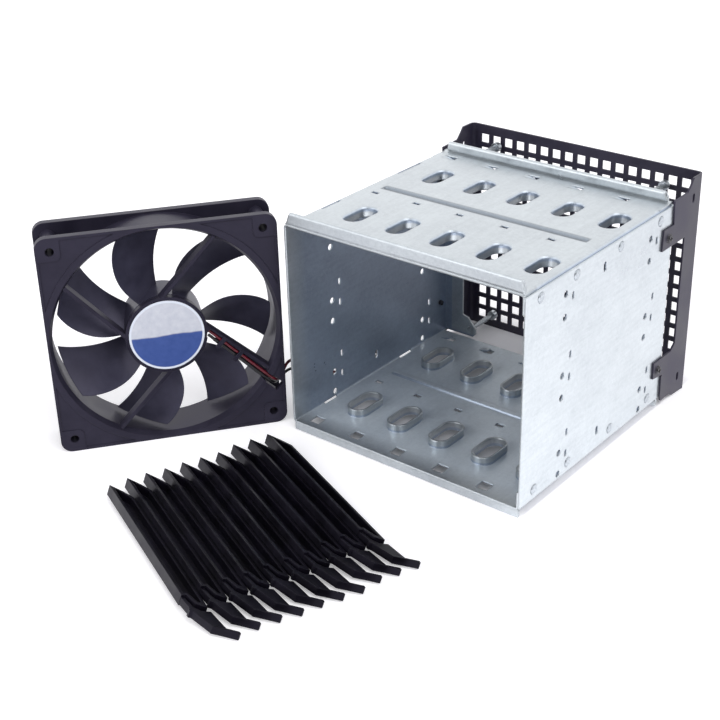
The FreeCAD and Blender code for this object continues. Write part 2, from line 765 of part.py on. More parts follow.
plates = [fan_flange_plate(0, flange), fan_flange_plate(fan_depth - flange, fan_depth)]
barrel = Part.makeCylinder(duct + dim("duct_wall"), fan_depth, Vec(0, 0, 0), Y_AXIS)
frame = plates[0].fuse([plates[1], barrel])
bore = Part.makeCylinder(duct, fan_depth + 2, Vec(0, -1, 0), Y_AXIS)
mouth = Part.makeCone(mouth_radius, duct, 3.0, Vec(0, 0, 0), Y_AXIS)
posts = [Part.makeCylinder(dim("fan_hole_radius") + dim("post_wall"), fan_depth,
                           Vec(x, 0, z), Y_AXIS) for x, z in corners]
frame = frame.fuse(posts)
holes = [Part.makeCylinder(dim("fan_hole_radius"), fan_depth + 2, Vec(x, -1, z), Y_AXIS)
         for x, z in corners]
# The screw pads stand proud in the corners of the label-side flange.
pads = []
for x, z in corners:
    sx = 1 if x > 0 else -1
    sz = 1 if z > 0 else -1
    pad = box(Vec(-6.6, -1, -6.6), Vec(6.6, 0.5, 6.6))
    inner_edge = [e for e in pad.Edges if abs(e.Vertexes[0].Point.y - e.Vertexes[1].Point.y) > 1
                  and e.CenterOfMass.x * sx < 0 and e.CenterOfMass.z * sz < 0]
    pad = pad.makeFillet(3.0, inner_edge)
    pad.translate(Vec(x + sx * 1.5, 0, z + sz * 1.5))
    pads.append(pad)
skim = box(Vec(-half + 1.4, -1, -half + 1.4), Vec(half - 1.4, 0.5, half - 1.4)).cut(pads)
rim = Part.makeCylinder(duct + dim("rim_band"), 3, Vec(0, -1.5, 0), Y_AXIS)
frame = frame.cut([bore, mouth, skim.cut(rim)] + holes)
motor_base = Part.makeCylinder(dim("motor_base_radius"),
                               dim("motor_base_back") - dim("motor_base_front"),
                               Vec(0, dim("motor_base_front"), 0), Y_AXIS)
STRUT_HEADINGS = (46.6, 131.4, 226.4, 317.8)
struts = []
for heading in STRUT_HEADINGS:
    half_width = dim("strut_width") / 2
    bar_points = [(-half_width, dim("strut_back")), (half_width, dim("strut_back")),
                  (half_width * 0.55, 0.7), (-half_width * 0.55, 0.7)]
    reach = math.sqrt(duct ** 2 - dim("strut_offset") ** 2) + 1.0
    start = math.sqrt(dim("motor_base_radius") ** 2 - dim("strut_offset") ** 2) - 4.0
    bar = prism(bar_points, on_xy, Vec(0, 0, start), Vec(0, 0, reach - start))
    # lies along +Z at an offset from the axis, then swings to its own heading
    bar.translate(Vec(-dim("strut_offset"), 0, 0))
    bar.rotate(Vec(0, 0, 0), Y_AXIS, 90 - heading)
    struts.append(bar)
bearing_tube = ring(dim("tube_radius"), dim("bearing_radius"), dim("motor_base_back") - 0.5, 18.0)
frame = frame.fuse([motor_base, bearing_tube] + struts)
bearing_seat = Part.makeCylinder(dim("bearing_radius"), 20, Vec(0, dim("motor_base_back"), 0), Y_AXIS)
frame = frame.cut(bearing_seat)
# Channel over the rim beside the lower right strut, and the notch it runs into.
LEAD_OFFSET = 13.7
LEAD_HEADING = -45.8
LEAD_DEPTH = 1.9


def along_lead(run, aside, depth):
    """A point beside the lower right strut: run outwards, aside from the hub's axis."""
    a = math.radians(LEAD_HEADING)
    across = run * math.cos(a) - aside * math.sin(a)
    up = run * math.sin(a) + aside * math.cos(a)
    return Vec(across, depth, up)


def lead_cut(run_low, run_high, width_here, depth):
    low = LEAD_OFFSET - width_here / 2
    high = LEAD_OFFSET + width_here / 2
    ends = [along_lead(run_low, low, -1), along_lead(run_high, low, -1),
            along_lead(run_high, high, -1), along_lead(run_low, high, -1)]
    return Part.Face(Part.makePolygon(ends + [ends[0]])).extrude(Vec(0, depth + 1, 0))


notch_run = half / math.cos(math.radians(LEAD_HEADING)) - LEAD_OFFSET
hub_run = math.sqrt(dim("motor_base_radius") ** 2 - LEAD_OFFSET ** 2) - 0.4
channel_cut = lead_cut(hub_run, notch_run - 6.0, 4.4, 2.8)
notch_cut = lead_cut(notch_run - 12.5, notch_run - 4.6, 5.4, flange + 0.5)
bands = [lead_cut(run, run + 2.2, 7.0, 0.9).common(box(Vec(-half, 0, -half), Vec(half, 1, half)))
         for run in (hub_run + 8.5, hub_run + 20.5)]
frame = frame.cut([channel_cut, notch_cut]).fuse(bands).removeSplitter()
node("fan_frame", frame, fan_place)

label = Part.makeCylinder(dim("label_radius"), dim("label_thick"),
                          Vec(0, dim("motor_base_front") - dim("label_thick"), 0), Y_AXIS)
node("fan_label", label, fan_place)

bearing = ring(dim("bearing_radius"), dim("shaft_radius") + 0.05, 0, dim("bearing_width"))
bearing_back = bearing.copy()
bearing.translate(Vec(0, 5.3, 0))
bearing_back.translate(Vec(0, 13.6, 0))
node("fan_bearings", Part.makeCompound([bearing, bearing_back]), fan_place)

tube_clear = dim("tube_radius") + dim("stator_fit")
board_front = dim("motor_base_back")
board = ring(15.5, tube_clear, board_front, board_front + 1.2)
node("fan_circuit_board", board, fan_place)

core = ring(8.0, tube_clear, 8.0, 15.0)
arms = []
coils = []
for k in range(4):
    arm = box(Vec(7, 8.0, -2), Vec(13.4, 15.0, 2))
    shoe = box(Vec(12.6, 8.0, -7.5), Vec(18, 15.0, 7.5))
    shoe = shoe.common(ring(15.6, 13.2, 8.0, 15.0))
    arms.append(turned(arm.fuse(shoe), 90 * k, Vec(0, 0, 0), Y_AXIS))
    coil = box(Vec(8.6, 6.4, -4.2), Vec(12.4, 16.6, 4.2))
    coil = coil.cut(box(Vec(8, 8.0, -2), Vec(13, 15.0, 2)))
    coils.append(turned(coil, 90 * k, Vec(0, 0, 0), Y_AXIS))
node("stator_core", core.fuse(arms).removeSplitter(), fan_place)
node("stator_windings", Part.makeCompound(coils), fan_place)

# ---- rotor
hub_r = dim("hub_radius")
hub_back = dim("hub_back")
hub = ring(hub_r, hub_r - dim("hub_wall"), dim("hub_front"), hub_back)
cap = Part.makeCylinder(hub_r, dim("hub_wall"), Vec(0, hub_back - dim("hub_wall"), 0), Y_AXIS)
boss = ring(4.5, dim("shaft_radius"), 18.6, hub_back - 0.5)


# Blade outline: angles of its front and back edge at each radius, in degrees.
BLADE_STATIONS = (
    (16.0, 127.0, 95.0),
    (24.0, 128.0, 94.0),
    (33.0, 127.5, 93.0),
    (42.0, 123.0, 90.5),
    (50.0, 117.0, 87.5),
    (58.0, 108.0, 83.5),
)


def blade_section(radius, front_angle, back_angle, thick):
    """Closed outline of the blade at one radius: a bowed, tapered aerofoil."""
    front = dim("blade_front")
    back = dim("blade_back")
    sides = []
    for side in (-1, 1):
        points = []
        for t in (0.0, 0.2, 0.5, 0.8, 1.0):
            swing = math.radians(front_angle + (back_angle - front_angle) * t)
            bow = dim("blade_camber") * 4 * t * (1 - t)
            body = thick * (0.35 + 1.1 * t ** 0.7 * (1 - t) ** 0.7 * 1.7)
            y = front + (back - front) * t + bow + side * body / 2
            points.append(Vec(radius * math.cos(swing), y, radius * math.sin(swing)))
        sides.append(points)
    upper = Part.BSplineCurve()
    upper.interpolate(sides[0])
    lower = Part.BSplineCurve()
    lower.interpolate(sides[1][::-1])
    return Part.Wire([
        upper.toShape(),
        Part.makeLine(sides[0][-1], sides[1][-1]),
        lower.toShape(),
        Part.makeLine(sides[1][0], sides[0][0]),
    ])


thick = dim("blade_thick")
tip_radius = duct - dim("blade_gap")
reach_scale = tip_radius / 55.4
blade = Part.makeLoft([
    blade_section(radius * reach_scale, front_angle, back_angle, thick)
    for radius, front_angle, back_angle in BLADE_STATIONS
], True, False)
sweep_zone = ring(tip_radius, hub_r - dim("hub_wall") + 0.5, 5.4, 21.6)
blade = blade.common(sweep_zone)
blades = [turned(blade, 360.0 / dim("blade_count") * k, Vec(0, 0, 0), Y_AXIS)
          for k in range(int(dim("blade_count")))]
rotor = hub.fuse([cap, boss] + blades)
shaft_seat = Part.makeCylinder(dim("shaft_radius"), 10, Vec(0, hub_back - 10.5, 0), Y_AXIS)
rotor = rotor.cut(shaft_seat).removeSplitter()
node("fan_rotor", rotor, fan_place)
yoke_outer = hub_r - dim("hub_wall")
node("rotor_yoke", ring(yoke_outer, yoke_outer - 1.0, 6.0, hub_back - dim("hub_wall")), fan_place)
node("rotor_magnet", ring(yoke_outer - 1.0, 16.2, 6.6, 16.4), fan_place)
shaft = Part.makeCylinder(dim("shaft_radius"), hub_back - 0.5 - 4.0, Vec(0, 4.0, 0), Y_AXIS)
groove = ring(3, 1.1, 4.5, 5.0)
node("fan_shaft", shaft.cut(groove), fan_place)
node("retaining_clip", ring(2.6, 1.1, 4.55, 4.95), fan_place)

# ------------------------------------------------------------------- fan lead

def fan_point(x, y, z):
    """A point of the fan's own frame in the set's frame."""
    return fan_place.multVec(Vec(x, y, z))


def tube_along(name, points, radius):
    """Plain tube of straight runs and tangent arcs; returns solid and length."""
    edges = []
    start = points[0]
    smallest = 1e9
    for i in range(1, len(points) - 1):
        before = (points[i] - points[i - 1])
        after = (points[i + 1] - points[i])
        turn = before.getAngle(after)
        run = min(before.Length, after.Length)
        arc_radius = 0.45 * run / math.tan(turn / 2)
        arc_radius = min(arc_radius, 60.0)
        smallest = min(smallest, arc_radius)
        cut = arc_radius * math.tan(turn / 2)
        before.normalize()
        after.normalize()
        first = points[i] - before * cut
        last = points[i] + after * cut
        inward = after - before
        inward.normalize()
        centre = points[i] + inward * (arc_radius / math.cos(turn / 2))
        middle = centre - inward * arc_radius
        edges.append(Part.makeLine(start, first))
        edges.append(Part.Arc(first, middle, last).toShape())
        start = last
    edges.append(Part.makeLine(start, points[-1]))
    spine = Part.Wire(edges)
    heading = points[1] - points[0]
    section = Part.Wire(Part.makeCircle(radius, points[0], heading))
    solid = spine.makePipeShell([section], True, False)
    expected = math.pi * radius ** 2 * spine.Length
    print("cord %s: length %.1f, smallest bend %.1f, volume %.4f of section x length"
          % (name, spine.Length, smallest, solid.Volume / expected))
    return solid


wire = dim("wire_radius")
coil_centre = Vec(-20, 86, dim("coil_section"))
coil_r = dim("coil_radius")


def lead_path(side):
    """Run of one wire; side is +1 for the upper wire and -1 for the lower."""
    aside = LEAD_OFFSET + 0.95 * side
    start_run = math.sqrt((dim("motor_base_radius") + 0.5) ** 2 - aside ** 2)
    hub_end = fan_place.multVec(along_lead(start_run, aside, LEAD_DEPTH))
    into_notch = fan_place.multVec(along_lead(notch_run - 8.6, aside, LEAD_DEPTH))
    behind = fan_point(half - 2.1 + 0.8 * side, 9.0, -38.5 + 0.8 * side)
    leave = fan_point(half + 5.0 + 0.1 * side, 12.0, -30.5 + 3.2 * side)
    return [
        hub_end,
        into_notch,
        behind,
        leave,
        Vec(-7.0 + 1.1 * side, 27.0, 24.0 + 1.6 * side),
        Vec(-6.0 + 1.2 * side, 41.0, 14.0 + 0.8 * side),
        Vec(-7.4 + 1.1 * side, 54.0, 3.4),
        Vec(-8.83 + 0.87 * side, 66.0, wire),
        Vec(-8.83 + 0.87 * side, 79.6, wire),
    ]


def tail_path(side):
    shift = side * 1.27
    return [
        Vec(coil_centre.x - 4 + shift, coil_centre.y + coil_r + 2.1, wire),
        Vec(coil_centre.x - 3 + shift, coil_centre.y + coil_r + 8.0, wire + 0.5),
        Vec(coil_centre.x - 3 + shift, coil_centre.y + coil_r + 13.8, 2.6),
    ]


for name, side in (("lead_red", 1), ("lead_black", -1)):
    run = tube_along(name, lead_path(side), wire)
    tail = tube_along(name + " tail", tail_path(side), wire)
    node(name, Part.makeCompound([run, tail]))
lead_coil = Part.makeTorus(coil_r, dim("coil_section"), coil_centre, Z_AXIS)
node("lead_coil", lead_coil)
plug_x = coil_centre.x - 3
plug_y = coil_centre.y + coil_r + 14.0
plug = box(Vec(plug_x - 3.9, plug_y, 0), Vec(plug_x + 3.9, plug_y + 12.7, 5.2))
plug_slots = [box(Vec(plug_x + dx - 0.6, plug_y + 8, 1.9), Vec(plug_x + dx + 0.6, plug_y + 13, 3.3))
              for dx in (-2.54, 0, 2.54)]
node("fan_connector", plug.cut(plug_slots))

# ---------------------------------------------------------------- drive rails

r_width = dim("rail_width")
r_height = dim("rail_height")
r_wall = dim("rail_wall")
r_body = dim("rail_body")
arm_at = dim("rail_arm_start")
tip = dim("rail_tip_run")
lean = math.radians(dim("rail_lean"))
pin_edge = dim("rail_pin_inset") + dim("rail_pin_radius")
pin_length = (r_width - pin_edge) * math.tan(lean)

outline = [
    (0, 0), (arm_at, 0), (arm_at, 2.3), (arm_at + 7, 4.2), (r_body - 0.6, 6.8),
    (r_body, r_width), (tip, r_width), (tip / 2, r_width * 0.57),
]
channel = [
    (1.9, r_wall), (arm_at - r_wall, r_wall), (arm_at - r_wall, 3.4),
    (arm_at + 5.2, 5.6), (arm_at + 6.4, r_width - r_wall),
    (tip + 0.5, r_width - r_wall), (tip / 2 + 0.9, r_width * 0.57 - 1.0),
]
rail = prism(outline, on_xy, Vec(0, 0, 0), Vec(0, 0, r_height))
rail = rail.cut(prism(channel, on_xy, Vec(0, 0, r_wall), Vec(0, 0, r_height)))
rail_pins = []
for k in range(2):
    x = dim("rail_pin_first") + dim("rail_pin_pitch") * k
    rail_pins.append(Part.makeCylinder(dim("rail_pin_radius"), pin_length + 0.5,
                                       Vec(x, dim("rail_pin_inset"), -pin_length), Z_AXIS))
rail = rail.fuse(rail_pins).removeSplitter()

gap = dim("latch_gap")
arm_outline = [
    (arm_at + gap, 0), (arm_at + 8.8, 1.0), (arm_at + 9.1, 0.15), (arm_at + 10.6, 0.15),
    (arm_at + 11.2, 1.4), (arm_at + 23.2, 6.2), (arm_at + 25.4, 12.0), (arm_at + 15.5, 10.5),
    (arm_at + 11.5, 9.9), (arm_at + 10.9, 5.4), (arm_at + 8, 3.0), (arm_at + gap, 1.6),
]
latch_low = dim("latch_bottom")
latch_high = dim("latch_top")
latch = prism(arm_outline, on_xy, Vec(0, 0, latch_low), Vec(0, 0, latch_high - latch_low))
# Finger plate: rises along its length so that it stays level when the rail leans.
finger_start = (arm_at + 23.2, 6.2)
finger_end = (arm_at + 31.8, 14.6)
finger_run = math.hypot(finger_end[0] - finger_start[0], finger_end[1] - finger_start[1])
finger_angle = math.degrees(math.atan2(finger_end[1] - finger_start[1],
                                       finger_end[0] - finger_start[0]))
finger_side = [(-0.6, latch_low), (finger_run, latch_low + 2.4), (finger_run, latch_low + 5.2),
               (finger_run - 0.8, latch_low + 5.8), (-0.6, latch_high)]
finger = prism(finger_side, on_xz, Vec(0, 0, 0), Vec(0, dim("latch_plate"), 0))
finger.rotate(Vec(0, 0, 0), Z_AXIS, finger_angle)
finger.translate(Vec(finger_start[0], finger_start[1], 0))
latch = latch.fuse(finger)
# Everything below the level of the resting edge is trimmed away.
under = box(Vec(80, -5, -12), Vec(160, 30, 0))
under.translate(Vec(0, 0, 0.15))
under.rotate(Vec(0, r_width, 0), X_AXIS, dim("rail_lean"))
latch = latch.cut(under).removeSplitter()

# How far each rail was pushed along its own length when the set was laid out.
RAIL_SHIFT = (17.5, 15.6, 15.5, 16.0, 15.0, 15.0, 14.8, 11.6, 11.0, 10.6)
row_heading = math.radians(dim("rail_heading") + 0.1)
along = Vec(math.cos(row_heading), math.sin(row_heading), 0)
across = Vec(-math.sin(row_heading), math.cos(row_heading), 0)
rest_height = r_width * math.sin(lean)
rail_places = []
for k in range(int(dim("rail_count"))):
    corner = along * RAIL_SHIFT[k] + across * (dim("rail_row_start") + dim("rail_step_across") * k)
    heading = FreeCAD.Rotation(Z_AXIS, dim("rail_heading") + dim("rail_fan_out") * k)
    leaning = FreeCAD.Rotation(X_AXIS, -dim("rail_lean"))
    place = FreeCAD.Placement(corner + Z_AXIS * rest_height, heading.multiply(leaning))
    rail_places.append(place)
    node("drive_rail_%d" % (k + 1), rail, place)
for k, place in enumerate(rail_places):
    node("rail_latch_%d" % (k + 1), latch, place)

# -------------------------------------------------------------- row frame, save

doc.recompute()
cords = ("lead_red", "lead_black", "lead_coil", "fan_connector")
whole = FreeCAD.BoundBox()
for piece in nodes:
    if piece.Label not in cords:
        whole.add(piece.Shape.optimalBoundingBox(False))
origin = Vec(whole.Center.x, whole.Center.y, whole.ZMin)
for piece in nodes:
    piece.Placement = FreeCAD.Placement(origin * -1, FreeCAD.Rotation()).multiply(piece.Placement)
doc.recompute()
print("row origin in cage coordinates: %.4f %.4f %.4f" % (origin.x, origin.y, origin.z))
print("size: %.2f x %.2f x %.2f" % (whole.XLength, whole.YLength, whole.ZLength))

for item in doc.Objects:
    for state in ("Invalid", "Error"):
        if state in item.State:
            raise RuntimeError("%s is %s" % (item.Label, state))
for piece in nodes:
    shape = piece.Shape
    if shape.isNull() or not shape.isValid():
        raise RuntimeError("%s has a bad shape" % piece.Label)
    if not shape.Solids or shape.Volume <= 0:
        raise RuntimeError("%s holds no solid" % piece.Label)
    shape.exportStep(os.path.join("parts", piece.Label + ".step"))
print("pieces: %d, solids: %d" % (len(nodes), sum(len(p.Shape.Solids) for p in nodes)))
for place, label in ((fan_place, "fan"), (rail_places[0], "rail 1"), (rail_places[-1], "rail 10")):
    print(label, place)
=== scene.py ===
import math

import bmesh
import bpy
from mathutils import Matrix, Vector


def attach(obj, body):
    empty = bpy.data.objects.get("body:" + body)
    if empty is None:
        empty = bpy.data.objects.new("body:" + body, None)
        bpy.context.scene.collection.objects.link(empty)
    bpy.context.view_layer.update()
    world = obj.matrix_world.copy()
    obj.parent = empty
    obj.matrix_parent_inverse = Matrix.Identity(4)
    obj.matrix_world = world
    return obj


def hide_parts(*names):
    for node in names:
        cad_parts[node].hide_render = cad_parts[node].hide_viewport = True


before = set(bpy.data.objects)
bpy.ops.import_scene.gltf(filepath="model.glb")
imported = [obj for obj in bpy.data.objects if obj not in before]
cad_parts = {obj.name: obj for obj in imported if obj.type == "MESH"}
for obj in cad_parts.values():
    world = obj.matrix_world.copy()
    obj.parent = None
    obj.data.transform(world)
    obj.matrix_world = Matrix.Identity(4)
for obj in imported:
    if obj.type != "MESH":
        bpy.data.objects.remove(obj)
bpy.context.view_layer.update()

# A hot swap drive cage with its fan and ten drive rails, dressed for rendering.
# Places and sizes of the part are named in its own millimetres, and MM turns
# them into Blender's metres. The camera and the floor are set in metres.
MM = 0.001

# The cage's front left corner on the floor, in the row frame.
CAGE_CORNER = Vector((-21.8529, -6.2607, 0.0))
CAGE_WIDTH = 142.0
CAGE_HEIGHT = 112.5
FLOOR_GAP = 4.5
# The fan stands on its edge, turned about the vertical.
HALF_FAN = 59.7
FAN_CENTRE = Vector((-44.6, -43.1, HALF_FAN))
FAN_YAW = math.radians(53.0)
FAN_FRAME = (Matrix.Translation((CAGE_CORNER + FAN_CENTRE) * MM)
             @ Matrix.Rotation(FAN_YAW, 4, "Z"))


def cage_point(x, y, z):
    """A point given in the cage's own millimetres, in the row frame."""
    return (CAGE_CORNER + Vector((x, y, z))) * MM


def fan_point(x, y, z):
    """A point given in the fan's own millimetres, in the row frame."""
    return FAN_FRAME @ (Vector((x, y, z)) * MM)


def show(name, data):
    """Puts a new object into the scene."""
    obj = bpy.data.objects.new(name, data)
    bpy.context.scene.collection.objects.link(obj)
    return obj


# ---------------------------------------------------------------- node building

# Where a mix node keeps its two values and its result, by kind of value.
MIX_SOCKETS = {"FLOAT": (2, 3, 0), "RGBA": (6, 7, 2)}
# A mask's edge fades over this much.
MASK_FADE = 0.7


class Nodes:
    """A node tree, built up node by node."""

    def __init__(self, tree):
        self.tree = tree

    def add(self, kind, **settings):
        """A new node of this kind."""
        made = self.tree.nodes.new(kind)
        for name, value in settings.items():
            setattr(made, name, value)
        return made

    def feed(self, target, value):
        """Links another node's output to an input, or gives it a plain value."""
        if isinstance(value, bpy.types.NodeSocket):
            self.tree.links.new(value, target)
        else:
            target.default_value = value

    def axes(self, vector):
        """The three parts of a vector."""
        split = self.add("ShaderNodeSeparateXYZ")
        self.feed(split.inputs[0], vector)
        return split.outputs

    def maths(self, operation, *values):
        """The result of one operation on values or sockets."""
        made = self.add("ShaderNodeMath", operation=operation)
        for target, value in zip(made.inputs, values):
            self.feed(target, value)
        return made.outputs[0]

    def sum(self, first, *others):
        for other in others:
            first = self.maths("ADD", first, other)
        return first

    def product(self, first, *others):
        for other in others:
            first = self.maths("MULTIPLY", first, other)
        return first

    def spread(self, value, low, high, low_at=0.0, high_at=1.0, curve="LINEAR"):
        """A value that runs from low to high while the source crosses a band."""
        made = self.add("ShaderNodeMapRange", interpolation_type=curve)
        self.feed(made.inputs["Value"], value)
        self.feed(made.inputs["From Min"], low_at)
        self.feed(made.inputs["From Max"], high_at)
        self.feed(made.inputs["To Min"], low)
        self.feed(made.inputs["To Max"], high)
        return made.outputs["Result"]

    def near(self, value, middle, reach):
        """1 within reach of the middle, falling to 0 just past it."""
        distance = self.maths("ABSOLUTE", self.maths("SUBTRACT", value, middle))
        return self.spread(distance, 1.0, 0.0, reach, reach + MASK_FADE * MM)

    def mix(self, kind, factor, first, second):
        """The first value where the factor is 0, and the second where it is 1."""
        made = self.add("ShaderNodeMix", data_type=kind)
        first_at, second_at, result_at = MIX_SOCKETS[kind]
        self.feed(made.inputs["Factor"], factor)
        self.feed(made.inputs[first_at], first)
        self.feed(made.inputs[second_at], second)
        return made.outputs[result_at]


def srgb(text):
    """A colour written as six hexadecimal digits, in linear light."""
    parts = [int(text[i:i + 2], 16) / 255 for i in (0, 2, 4)]
    linear = [c / 12.92 if c <= 0.04045 else ((c + 0.055) / 1.055) ** 2.4 for c in parts]
    return (*linear, 1.0)


class Finish(Nodes):
    """A procedural material; the shader's inputs are named with _ for a space."""

    def __init__(self, name, **values):
        self.material = bpy.data.materials.new(name)
        self.material.use_nodes = True
        super().__init__(self.material.node_tree)
        self.shader = self.tree.nodes["Principled BSDF"]
        self.position = self.add("ShaderNodeTexCoord").outputs["Object"]
        self.normal = None
        for name, value in values.items():
            self.give(name.replace("_", " "), value)

    def give(self, name, value):
        """Sets one of the shader's inputs."""
        self.feed(self.shader.inputs[name], value)

    def stretched(self, x, y, z):
        """The position, scaled along each axis."""
        mapping = self.add("ShaderNodeMapping")
        self.feed(mapping.inputs["Scale"], (x, y, z))
        self.feed(mapping.inputs["Vector"], self.position)
        return mapping.outputs["Vector"]

    def noise(self, scale, detail, rough, place=None):
        """A cloudy pattern between 0 and 1."""
        made = self.add("ShaderNodeTexNoise")
        self.feed(made.inputs["Vector"], place or self.position)
        self.feed(made.inputs["Scale"], scale)
        self.feed(made.inputs["Detail"], detail)
        self.feed(made.inputs["Roughness"], rough)
        return made.outputs["Fac"]

    def cells(self, scale):
        """A random value for each crystal of a mosaic."""
        made = self.add("ShaderNodeTexVoronoi")
        self.feed(made.inputs["Vector"], self.position)
        self.feed(made.inputs["Scale"], scale)
        split = self.add("ShaderNodeSeparateColor")
        self.feed(split.inputs["Color"], made.outputs["Color"])
        return split.outputs[0]

    def upward(self):
        """1 where the surface faces straight up, 0 where it stands or faces down."""
        geometry = self.add("ShaderNodeNewGeometry")
        upright = self.axes(geometry.outputs["Normal"])[2]
        return self.spread(upright, 0.0, 1.0, low_at=0.5, high_at=0.95)

    def shade(self, factor, dark, light):
        """A colour between two hexadecimal ones."""
        return self.mix("RGBA", factor, srgb(dark), srgb(light))

    def mottle(self, source, dark, light, band=(0.35, 0.65), share=(0.0, 1.0)):
        """A shade that goes from dark to light while the source crosses the band.

        Share says how far it goes at the band's two ends."""
        return self.shade(self.spread(source, *share, *band), dark, light)

    def turn_normal(self, made):
        """Takes the surface's normal from the node given."""
        self.normal = made.outputs["Normal"]
        self.give("Normal", self.normal)

    def rounded(self, radius):
        """Rounds every edge by the radius, as mould and coating do."""
        made = self.add("ShaderNodeBevel", samples=6)
        self.feed(made.inputs["Radius"], radius)
        self.turn_normal(made)

    def bump(self, source, depth, strength):
        """Raises the surface by up to the depth where the source is high."""
        made = self.add("ShaderNodeBump")
        self.feed(made.inputs["Height"], source)
        self.feed(made.inputs["Distance"], depth)
        self.feed(made.inputs["Strength"], strength)
        if self.normal is not None:
            self.feed(made.inputs["Normal"], self.normal)
        self.turn_normal(made)


# ------------------------------------------------------------- zinc-coated sheet

# The cage's inner faces lie a little deeper than this below its outer ones.
WALL = 0.8
INSIDE_MIDDLE = cage_point(CAGE_WIDTH / 2, 0.0, FLOOR_GAP + CAGE_HEIGHT / 2)
INSIDE_HALF_WIDTH = CAGE_WIDTH / 2 - WALL
INSIDE_HALF_HEIGHT = CAGE_HEIGHT / 2 - WALL
# The painted shade and light inside the cage fade in behind the front lip and out at the rear
# edge.
INSIDE_FRONT = (1.0, 14.0)
INSIDE_BACK = (136.0, 138.0)
# Inside, whatever lies further than this from the side walls and from the top
# and bottom plates belongs to a collar.
COLLAR_ASIDE = 5.0
COLLAR_BEYOND = 1.9
# The groove pressed across the top plate, with its shoulders, where shade is painted on it.
GROOVE_MIDDLE = cage_point(70.5, 69.0, 0.0)
GROOVE_HALF_LENGTH = 61.5
GROOVE_HALF_WIDTH = 2.6
GROOVE_FADE = 3.2

# How metallic the sheet looks outside, inside, and on the faces turned up inside.
OUTSIDE_METALLIC = 0.82
INSIDE_METALLIC = 0.68
INSIDE_UPWARD_METALLIC = 0.3


def within_depth(f, y, front, back):
    """1 between two stretches of the cage's depth, over which it fades in and out."""
    fade_in, fade_out = ([cage_point(0.0, at, 0.0).y for at in ends] for ends in (front, back))
    return f.product(f.spread(y, 0.0, 1.0, *fade_in), f.spread(y, 1.0, 0.0, *fade_out))


def painted_interior_mask(f, place):
    """1 on the faces that look into the cage, where shade and light are painted, but not on its
    bright collars.
    """
    x, y, z = place
    box = f.product(f.near(x, INSIDE_MIDDLE.x, INSIDE_HALF_WIDTH * MM),
                    f.near(z, INSIDE_MIDDLE.z, INSIDE_HALF_HEIGHT * MM))
    collars = f.product(f.near(x, INSIDE_MIDDLE.x, (INSIDE_HALF_WIDTH - COLLAR_ASIDE) * MM),
                        f.near(z, INSIDE_MIDDLE.z, (INSIDE_HALF_HEIGHT - COLLAR_BEYOND) * MM))
    return f.product(box, f.spread(collars, 1.0, 0.0),
                     within_depth(f, y, INSIDE_FRONT, INSIDE_BACK))


def groove_painted_shade(f, place):
    """Painted shade in the top plate's groove, fainter towards its far edge."""
    x, y, z = place
    return f.product(f.near(x, GROOVE_MIDDLE.x, GROOVE_HALF_LENGTH * MM),
                     f.near(y, GROOVE_MIDDLE.y, GROOVE_HALF_WIDTH * MM),
                     f.spread(z, 0.0, 1.0, INSIDE_MIDDLE.z, INSIDE_MIDDLE.z + MM),
                     f.spread(y, 1.0, 0.3, GROOVE_MIDDLE.y, GROOVE_MIDDLE.y + GROOVE_FADE * MM))


def zinc_sheet():
    """Galvanised sheet: faint crystals, rolling lines and handling marks, with painted shade
    and light on faces turned up, inside the cage and in the groove.
    """
    f = Finish("zinc_sheet")
    f.rounded(1.1 * MM)
    crystals = f.cells(620.0)
    rolled = f.noise(75.0, detail=4.0, rough=0.6, place=f.stretched(7.0, 0.6, 7.0))
    smudges = f.noise(34.0, detail=5.0, rough=0.62)
    grain = f.noise(1500.0, detail=2.0, rough=0.5)
    tone = f.sum(f.spread(crystals, -0.08, 0.08),
                 f.spread(smudges, -0.16, 0.16, 0.3, 0.7),
                 f.spread(rolled, -0.09, 0.09, 0.3, 0.7),
                 f.spread(grain, 0.44, 0.56, 0.3, 0.7))
    # Painted shade and light by facing: faces turned up are painted darker outside; inside the
    # cage the walls are painted a darker blue-grey shade and the faces turned up lighter.
    flat = f.upward()
    outside_with_painted_shade = f.mix("RGBA", flat, f.shade(tone, "969ca2", "c3c9cd"),
                    f.shade(tone, "8e9399", "b8bec2"))
    painted_inside_tone = f.mix("RGBA", flat, f.shade(tone, "7c8798", "a9b5c6"),
                   f.shade(tone, "a4aeb8", "ccd5dd"))
    place = f.axes(f.position)
    # Where the painted shade and light inside the cage go.
    painted_inside = painted_interior_mask(f, place)
    face = f.mix("RGBA", painted_inside, outside_with_painted_shade, painted_inside_tone)
    # Painted shade in the groove: a dark grey laid over the face colour.
    f.give("Base Color", f.mix("RGBA", groove_painted_shade(f, place), face, srgb("646b73")))
    f.give("Metallic", f.mix("FLOAT", painted_inside, OUTSIDE_METALLIC,
                             f.spread(flat, INSIDE_METALLIC, INSIDE_UPWARD_METALLIC)))
    f.give("Roughness", f.sum(f.spread(crystals, -0.015, 0.015),
                              f.spread(smudges, 0.28, 0.37, 0.3, 0.7)))
    f.bump(grain, depth=0.03 * MM, strength=0.15)
    f.bump(smudges, depth=0.3 * MM, strength=0.08)
    return f.material


# --------------------------------------------------------------- other materials

# Black plastic mirrors the light with a violet cast.
VIOLET_SHEEN = (0.80, 0.76, 1.0, 1.0)
# The motor's film turns into its pale rim this far out from the fan's centre.
FILM_RIM_START = 17.9
FILM_RIM_END = 18.2
# Its tones change within this much above and below the centre, along a line that
# wavers by this much.
FILM_SPLIT = 0.4
FILM_WAVER = 0.3


def turned_steel():
    """Bright turned steel."""
    f = Finish("turned_steel", Metallic=1.0, Roughness=0.3)
    rings = f.noise(900.0, detail=3.0, rough=0.6)
    f.give("Base Color", f.mottle(rings, "9aa1a8", "dfe5e8", share=(0.2, 0.8)))
    f.bump(rings, depth=0.03 * MM, strength=0.4)
    return f.material


